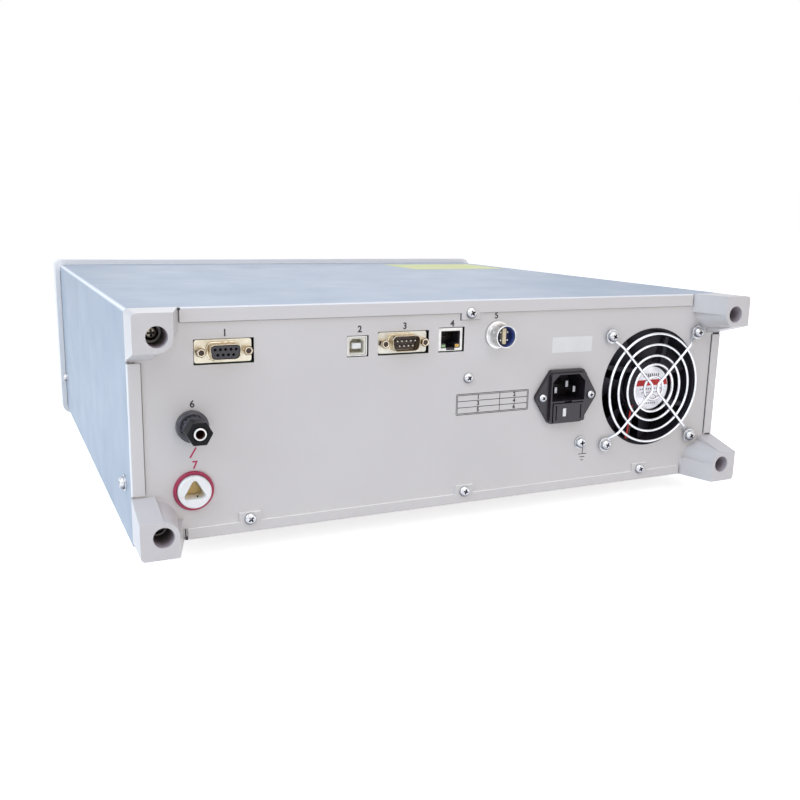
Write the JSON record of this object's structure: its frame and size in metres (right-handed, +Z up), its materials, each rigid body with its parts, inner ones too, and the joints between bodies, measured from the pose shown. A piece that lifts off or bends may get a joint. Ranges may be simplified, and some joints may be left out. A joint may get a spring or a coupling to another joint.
{
  "type": "impulse winding tester",
  "caption": "Bench impulse winding tester: folded steel case, moulded corner feet, rear ports, mains inlet, guarded fan, high-voltage outlet, ground post, and front display, keys and knob.",
  "frame": {"origin": "under the middle of the whole object, in the plane that its rubber pads stand on", "axes": "+Z up, the front panel faces -Y, the rear panel with its ports faces +Y, +X to the right seen from the front"},
  "size_m": [0.403, 0.4262, 0.142],
  "materials": {
    "cover_paint": "fine powder coat, light blue-grey",
    "panel_paint": "fine powder coat, light grey",
    "bezel_plastic": "moulded ABS, off-white",
    "foot_plastic": "moulded ABS, light grey",
    "front_panel_finish": "anodised, satin",
    "keypad_film": "printed polycarbonate film",
    "display_window": "clear window",
    "black_plastic": "moulded nylon, black",
    "dark_plastic": "glass-filled moulding, dark grey",
    "brown_plastic": "moulded insulator, brown",
    "blue_plastic": "moulded insulator, dark blue",
    "white_plastic": "moulded PTFE, white",
    "ivory_plastic": "moulded insulator, ivory",
    "crimson_plastic": "moulded, crimson",
    "red_plastic": "moulded, red",
    "green_plastic": "moulded, green",
    "knob_plastic": "soft-touch moulding",
    "rubber_pad": "moulded rubber",
    "zinc_steel": "bright zinc plate",
    "guard_wire": "bright nickel-chrome plated wire",
    "nickel": "nickel plate",
    "tin_shell": "tin and yellow zinc plated shell",
    "brass": "turned brass",
    "sheet_steel": "galvanised sheet",
    "board": "glass-epoxy board, green",
    "lead_insulation": "wire insulation, red",
    "fuse_glass": "glass tube with nickel caps",
    "resin": "potting resin",
    "capacitor_film": "sleeve, blue",
    "relay_case": "moulded case"
  },
  "bodies": {
    "case": {"top_cover": "cover_paint", "bottom_cover": "panel_paint", "rear_panel": "panel_paint", "side_rail_right": "sheet_steel", "side_rail_left": "sheet_steel", "front_bezel": "bezel_plastic", "front_panel": "front_panel_finish", "keypad_overlay": "keypad_film", "display_lens": "display_window", "display_module": "dark_plastic", "corner_foot_upper_right": "foot_plastic", "corner_foot_upper_left": "foot_plastic", "corner_foot_lower_right": "foot_plastic", "corner_foot_lower_left": "foot_plastic", "corner_foot_screws": "zinc_steel", "cover_screws": "zinc_steel", "panel_screws": "zinc_steel", "fan_guard": "guard_wire", "fan_screws": "zinc_steel", "fan_frame": "black_plastic", "fan_leads": "lead_insulation", "hv_ring": "crimson_plastic", "hv_insulator": "white_plastic", "hv_contact": "ivory_plastic", "ground_post_base": "nickel", "foot_socket_shell": "nickel", "foot_socket_insert": "blue_plastic", "handler_shell": "tin_shell", "handler_insert": "black_plastic", "serial_shell": "tin_shell", "serial_insert": "brown_plastic", "jack_screws": "nickel", "usb_shell": "nickel", "usb_tongue": "ivory_plastic", "lan_shell": "nickel", "lan_insert": "black_plastic", "inlet_body": "black_plastic", "inlet_pins": "nickel", "inlet_screws": "zinc_steel", "base_feet_rear": "foot_plastic", "base_feet_front": "foot_plastic", "base_foot_pads": "rubber_pad", "knob_encoder": "zinc_steel", "test_terminals": "crimson_plastic", "main_board": "board", "power_transformer": "sheet_steel", "hv_module": "resin", "capacitor_bank": "capacitor_film", "hv_relay": "relay_case"},
    "fan_rotor": {"fan_rotor": "dark_plastic"},
    "knob": {"knob": "knob_plastic"},
    "start_button": {"start_button": "green_plastic"},
    "stop_button": {"stop_button": "red_plastic"},
    "power_button": {"power_button": "bezel_plastic"},
    "tilt_leg_right": {"tilt_leg_right": "foot_plastic"},
    "tilt_leg_left": {"tilt_leg_left": "foot_plastic"},
    "fuse_drawer": {"fuse_drawer": "black_plastic", "fuses": "fuse_glass"},
    "ground_post_bush": {"ground_post_bush": "brass"},
    "ground_post_knob": {"ground_post_knob": "black_plastic"}
  },
  "joints": [
    {"name": "fan_spin", "type": "hinge", "parent": "case", "child": "fan_rotor", "pos_m": [-0.14, 0.1749, 0.0765], "axis": [0, 1, 0], "continuous": true},
    {"name": "knob_turn", "type": "hinge", "parent": "case", "child": "knob", "pos_m": [0.092, -0.2051, 0.099], "axis": [0, -1, 0], "continuous": true},
    {"name": "start_press", "type": "slide", "parent": "case", "child": "start_button", "axis": [0, 1, 0], "range_m": [0, 0.002], "stiffness_N_per_m": 250},
    {"name": "stop_press", "type": "slide", "parent": "case", "child": "stop_button", "axis": [0, 1, 0], "range_m": [0, 0.002], "stiffness_N_per_m": 250},
    {"name": "power_press", "type": "slide", "parent": "case", "child": "power_button", "axis": [0, 1, 0], "range_m": [0, 0.002], "stiffness_N_per_m": 250},
    {"name": "tilt_leg_right_fold", "type": "hinge", "parent": "case", "child": "tilt_leg_right", "pos_m": [0.148, -0.1321, 0.0062], "axis": [-1, 0, 0], "range_deg": [0, 90]},
    {"name": "tilt_leg_left_fold", "type": "hinge", "parent": "case", "child": "tilt_leg_left", "pos_m": [-0.148, -0.1321, 0.0062], "axis": [-1, 0, 0], "range_deg": [0, 90]},
    {"name": "fuse_drawer_pull", "type": "slide", "parent": "case", "child": "fuse_drawer", "axis": [0, 1, 0], "range_m": [0, 0.017]},
    {"name": "ground_post_travel", "type": "slide", "parent": "case", "child": "ground_post_bush", "axis": [0, 1, 0], "range_m": [0, 0.003]},
    {"name": "ground_post_turn", "type": "hinge", "parent": "ground_post_bush", "child": "ground_post_knob", "pos_m": [0.1653, 0.2009, 0.0755], "axis": [0, 1, 0], "range_deg": [0, 1441]}
  ],
  "couplings": [
    {"joint": "ground_post_turn", "follows": "ground_post_travel", "rad_per_m": 8377.6}
  ]
}
